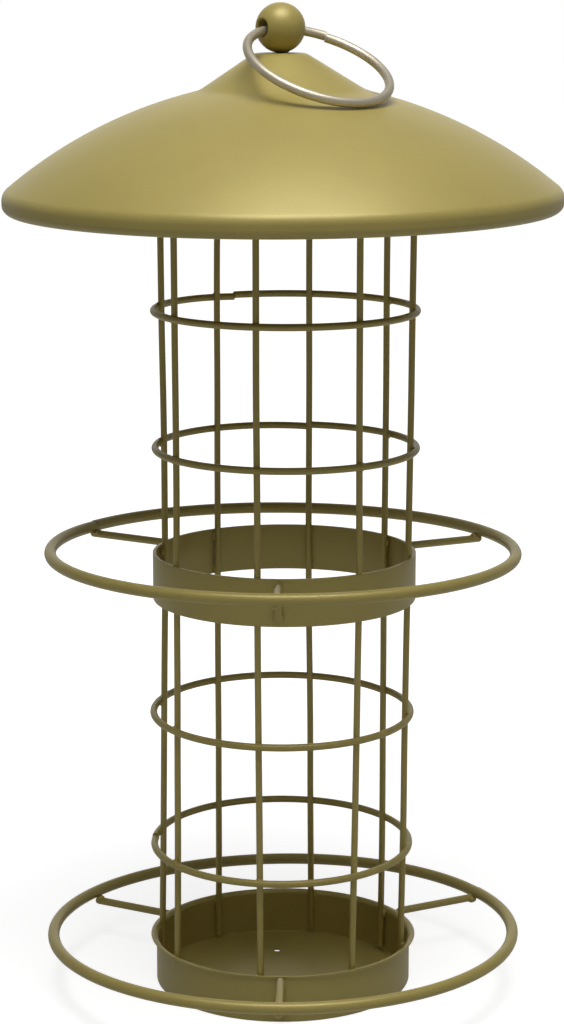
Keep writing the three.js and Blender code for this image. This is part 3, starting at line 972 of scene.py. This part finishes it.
class FEEDER_OT_roof(Operator):
    """Spin the roof from sheet: flat top, cone, dome and rolled rim"""

    bl_idname = "feeder.roof"
    bl_label = "Roof"

    def execute(self, context):
        sizes = context.scene.feeder_roof
        outside = roof_line(sizes)
        inside = offset(outside, sizes.sheet)
        (r0, z0), (r1, z1) = outside[-1], inside[-1]
        end = ((r0 + r1) / 2, (z0 + z1) / 2)
        start = degrees(atan2(z0 - z1, r0 - r1))
        edge = arc(end, sizes.sheet / 2, start, start - 180, 6)[1:-1]
        top = height_range("roof")[1]
        profile = [(r, z + top) for r, z in (*outside, *edge, *inside[::-1])]
        shape = turn(profile, steps=288)
        true_width = 2.5 * MM
        for vertex in shape.verts:
            flat = vertex.co.to_2d()
            share = flat * flat.length / sizes.dome ** 2
            vertex.co.z += share.y * sizes.front_dip + share.x * sizes.left_dip
            # The cone leans to the left, but stays true round the stud's hole.
            cone = (sizes.cone - flat.length) / (sizes.cone - sizes.flat)
            hole = (flat.length - stud_hole()) / true_width
            vertex.co.x -= sizes.top_shift * max(min(cone, hole, 1), 0)
        settle(piece_from("roof_spinning", shape), "roof", "roof", sharp=50)
        return {"FINISHED"}


# ---- the latch and the ring


def ball_centre():
    return Vector(SWING["pos_m"]) + SWING_AXIS * bpy.context.scene.feeder_latch.ball_shift


class FEEDER_OT_finial(Operator):
    """Turn the finial ball with its cross hole"""

    bl_idname = "feeder.finial"
    bl_label = "Finial ball"

    def execute(self, context):
        sizes = context.scene.feeder_latch
        ball, hole, edge = sizes.ball / 2, sizes.ball_hole / 2, sizes.hole_edge
        # The edge's arc touches the ball from inside and the hole's wall from outside.
        reach = sqrt((ball - edge) ** 2 - (hole + edge) ** 2)
        lean = degrees(atan2(reach, hole + edge))
        outside = arc((0, 0), ball, -lean, lean, 48)
        upper = arc((hole + edge, reach), edge, lean, 180, 6)[1:]
        lower = [(r, -z) for r, z in reversed(upper)]
        place = SWING_AXIS.to_track_quat("Z", "Y").to_matrix().to_4x4()
        place.translation = ball_centre()
        shape = turn([*outside, *upper, *lower], steps=96, place=place)
        settle(piece_from("finial_ball_turned", shape), "latch", "finial_ball")
        return {"FINISHED"}


def hexagon_nut(shape, bottom, top, flats, bore):
    """A hexagon nut with chamfered corners."""
    sides, apothem = 96, flats / 2
    face = 0.97 * apothem
    rows = [[] for _ in range(6)]
    for i in range(sides):
        turn_angle = 2 * pi * i / sides
        lean = (turn_angle + pi / 6) % (pi / 3) - pi / 6
        corner = apothem / cos(lean)
        drop = (corner - face) * slope(30)
        line = [(bore, bottom), (face, bottom), (corner, bottom + drop),
                (corner, top - drop), (face, top), (bore, top)]
        for row, (r, z) in zip(rows, line):
            row.append(shape.verts.new(at(r, turn_angle, z)))
    skin(shape, rows + rows[:1])


class FEEDER_OT_latch(Operator):
    """Thread the stud and add the washer, nuts and latch bar"""

    bl_idname = "feeder.latch"
    bl_label = "Latch"

    bore_gap, washer_edge, bar_edge = 0.05 * MM, 0.2 * MM, 0.3 * MM

    def execute(self, context):
        sizes = context.scene.feeder_latch
        bottom, top = height_range("latch_stud")
        stud = grow("latch_stud_threaded", [(0, 0, bottom)], thread_tree(), {
            "Radius": sizes.stud / 2, "Length": top - bottom, "Pitch": sizes.pitch,
        }, "zinc_plate")
        settle(stud, "latch", "latch_stud", sharp=60, slot="zinc_plate")

        bore = sizes.stud / 2 + self.bore_gap
        shape = bmesh.new()
        for node in NUTS:
            hexagon_nut(shape, *height_range(node), sizes.flats, bore)
        settle(piece_from("latch_nuts", shape), "latch", *NUTS, slot="zinc_plate")

        low, high = height_range("roof_washer")
        section = rounded_sheet(bore, low, outer_radius("roof_washer"), high, self.washer_edge)
        washer = piece_from("roof_washer_pressed", turn(section, steps=96))
        settle(washer, "latch", "roof_washer", slot="zinc_plate")

        settle(self.bar(sizes), "latch", "latch_bar", slot="zinc_plate")
        return {"FINISHED"}

    def bar(self, sizes):
        """A flat bar with round ends, lying as its CAD node does."""
        far = points_of("latch_bar")[0]
        half = sizes.bar_width / 2
        end = far.to_2d().length - half
        outline = arc((end, 0), half, -90, 90, 16) + arc((-end, 0), half, 90, 270, 16)
        lean = Matrix.Rotation(atan2(far.y, far.x), 4, "Z")
        low, high = height_range("latch_bar")
        shape = bmesh.new()
        base = [shape.verts.new(lean @ Vector((x, y, low))) for x, y in outline]
        raised = bmesh.ops.extrude_face_region(shape, geom=[shape.faces.new(base)])["geom"]
        lift = [v for v in raised if isinstance(v, bmesh.types.BMVert)]
        bmesh.ops.translate(shape, vec=(0, 0, high - low), verts=lift)
        rims = [e for e in shape.edges if abs(e.verts[0].co.z - e.verts[1].co.z) < 1e-6]
        bmesh.ops.bevel(shape, geom=rims, offset=self.bar_edge, segments=3, affect="EDGES")
        return piece_from("latch_bar_cut", shape)


class FEEDER_OT_hanging_ring(Operator):
    """Bend the hanging ring through the ball"""

    bl_idname = "feeder.hanging_ring"
    bl_label = "Hanging ring"

    steps, sides, end_bevel = 360, 48, 0.15 * MM

    def execute(self, context):
        sizes, ball = context.scene.feeder_ring, context.scene.feeder_latch.ball / 2
        azimuth = azimuth_of(UP.cross(SWING_AXIS))
        out, across = at(1, azimuth), at(1, azimuth + pi / 2)
        outward = out * cos(sizes.lie) - UP * sin(sizes.lie)
        aside = UP * cos(sizes.lie) + out * sin(sizes.lie)
        # The ring's bend inside the ball lies half on each side of the hole's axis.
        back = (sizes.radius - sqrt(sizes.radius ** 2 - ball ** 2)) / 2
        seat = ball_centre() - UP * sizes.slack
        gap = sizes.joint_gap / sizes.radius
        line = []
        for i in range(self.steps + 1):
            turned = sizes.joint + gap / 2 + (2 * pi - gap) * i / self.steps
            slip = sizes.joint_step * (turned / (2 * pi) - 1)
            depth = sizes.radius * (1 - cos(turned)) - back
            along = across * sizes.radius * sin(turned)
            line.append(seat + along + outward * depth + aside * slip)
        shape = bmesh.new()
        sweep_rod(shape, line, sizes.wire / 2, sides=self.sides, round_ends=False)
        ends = [e for e in shape.edges if any(len(f.verts) > 4 for f in e.link_faces)]
        bmesh.ops.bevel(shape, geom=ends, offset=self.end_bevel, segments=3, affect="EDGES")
        settle(piece_from("hanging_ring_wire", shape), "ring", "hanging_ring", slot="nickel_plate")
        return {"FINISHED"}


# ---- the stage


def softbox(name, place, width, height, power):
    """A large soft lamp that faces the feeder."""
    lamp = bpy.data.lights.new(name, "AREA")
    lamp.shape = "RECTANGLE"
    lamp.size, lamp.size_y, lamp.energy = width, height, power
    light = new_object(name, lamp)
    light.location = place
    light.rotation_euler = (UP * 0.2 - Vector(place)).to_track_quat("-Z", "Y").to_euler()


def ray_kinds(tree):
    """1 for rays that show white to the camera, and 1 for mirrored rays."""
    rays = add(tree, "ShaderNodeLightPath").outputs
    seen = maths("MAXIMUM", rays["Is Camera Ray"], rays["Is Transmission Ray"])
    return seen, rays["Is Glossy Ray"]


def studio_floor():
    """Pale matt floor. To the camera it is white away from the feeder, and near the feeder it
    is as white as keeps a soft shadow."""
    material, tree = new_material("matt_studio_floor")
    place = add(tree, "ShaderNodeTexCoord").outputs["Object"]
    distance = add(tree, "ShaderNodeVectorMath", {0: place}, operation="LENGTH").outputs["Value"]
    glow = smooth_step(distance, 0.1, 0.45, 0.82, 1.0)
    seen, mirrored = ray_kinds(tree)
    matt = first(tree, "ShaderNodeBsdfDiffuse", {"Color": linear("#b4b4b4")})
    white = first(tree, "ShaderNodeEmission", {
        "Color": linear("#ffffff"), "Strength": plus(times(glow, seen), times(mirrored, 0.35)),
    })
    both = first(tree, "ShaderNodeAddShader", {0: matt, 1: white})
    add(tree, "ShaderNodeOutputMaterial", {"Surface": both})
    return material


def studio_world():
    """Dim soft light from all round, a little brighter in reflections. The camera sees white,
    and so does metal that mirrors what lies behind the feeder."""
    world = bpy.data.worlds.new("studio")
    world.use_nodes = True
    tree = world.node_tree
    tree.nodes.clear()
    seen, mirrored = ray_kinds(tree)
    direction = add(tree, "ShaderNodeTexCoord").outputs["Generated"]
    behind = smooth_step(split(direction)["Y"], 0.7, 0.95)
    around = times(maths("MAXIMUM", behind, 0.32), mirrored)
    dim, white = (
        first(tree, "ShaderNodeBackground", {"Color": linear("#ffffff"), "Strength": strength})
        for strength in (0.05, 1.0)
    )
    mixed = first(tree, "ShaderNodeMixShader", {
        0: maths("MAXIMUM", around, seen), 1: dim, 2: white,
    })
    add(tree, "ShaderNodeOutputWorld", {"Surface": mixed})
    return world


class FEEDER_OT_stage(Operator):
    """Set the floor, the lamps and the camera"""

    bl_idname = "feeder.stage"
    bl_label = "Stage"

    def execute(self, context):
        scene = context.scene
        shape = bmesh.new()
        bmesh.ops.create_circle(shape, cap_ends=True, segments=96, radius=8.0)
        floor = piece_from("floor", shape)
        floor.data.materials.append(studio_floor())
        scene.world = studio_world()
        softbox("overhead", (0.1, -0.27, 2.0), 1.3, 0.8, 15.5)
        softbox("near_top", (0.04, -0.3, 1.0), 0.55, 0.4, 3.0)
        softbox("front_top", (0.1, -1.2, 1.7), 1.0, 1.0, 2.0)
        camera = new_object("camera", bpy.data.cameras.new("camera"))
        camera.data.lens, camera.data.sensor_width = 97.207, 36.0
        camera.data.clip_start = 0.05
        camera.location = (-0.0003, -0.87492, 0.33362)
        camera.rotation_euler = (radians(78.638), 0, 0)
        scene.camera = camera
        scene.view_settings.view_transform = "Standard"
        return {"FINISHED"}


# ---- add-on

GROUPS = {
    "feeder_cage": FeederCage, "feeder_sheets": FeederSheets, "feeder_perches": FeederPerches,
    "feeder_roof": FeederRoof, "feeder_latch": FeederLatch, "feeder_ring": FeederRing,
    "feeder_finish": FeederFinish,
}
OPERATORS = (
    FEEDER_OT_tray, FEEDER_OT_bands, FEEDER_OT_uprights, FEEDER_OT_hoops, FEEDER_OT_spokes,
    FEEDER_OT_welds, FEEDER_OT_roof, FEEDER_OT_finial, FEEDER_OT_latch, FEEDER_OT_hanging_ring,
    FEEDER_OT_stage,
)


class FEEDER_PT_sidebar(Panel):
    """Lists the feeder's sizes and the steps that build it"""

    bl_idname = "FEEDER_PT_sidebar"
    bl_label = "Suet ball feeder"
    bl_space_type = "VIEW_3D"
    bl_region_type = "UI"
    bl_category = "Feeder"

    def draw(self, context):
        for name, group in GROUPS.items():
            box = self.layout.box()
            for size in group.__annotations__:
                box.prop(getattr(context.scene, name), size)
        for operator in OPERATORS:
            self.layout.operator(operator.bl_idname)


def register():
    for group in GROUPS.values():
        bpy.utils.register_class(group)
    for name, group in GROUPS.items():
        setattr(bpy.types.Scene, name, PointerProperty(type=group))
    for thing in (*OPERATORS, FEEDER_PT_sidebar):
        bpy.utils.register_class(thing)


def unregister():
    for thing in (FEEDER_PT_sidebar, *reversed(OPERATORS)):
        bpy.utils.unregister_class(thing)
    for name, group in reversed(GROUPS.items()):
        delattr(bpy.types.Scene, name)
        bpy.utils.unregister_class(group)


def main():
    register()
    for operator in OPERATORS:
        step = operator.bl_idname.split(".")[1]
        if getattr(bpy.ops.feeder, step)() != {"FINISHED"}:
            raise RuntimeError(f"{operator.bl_label} didn't finish")


if __name__ == "__main__":
    main()
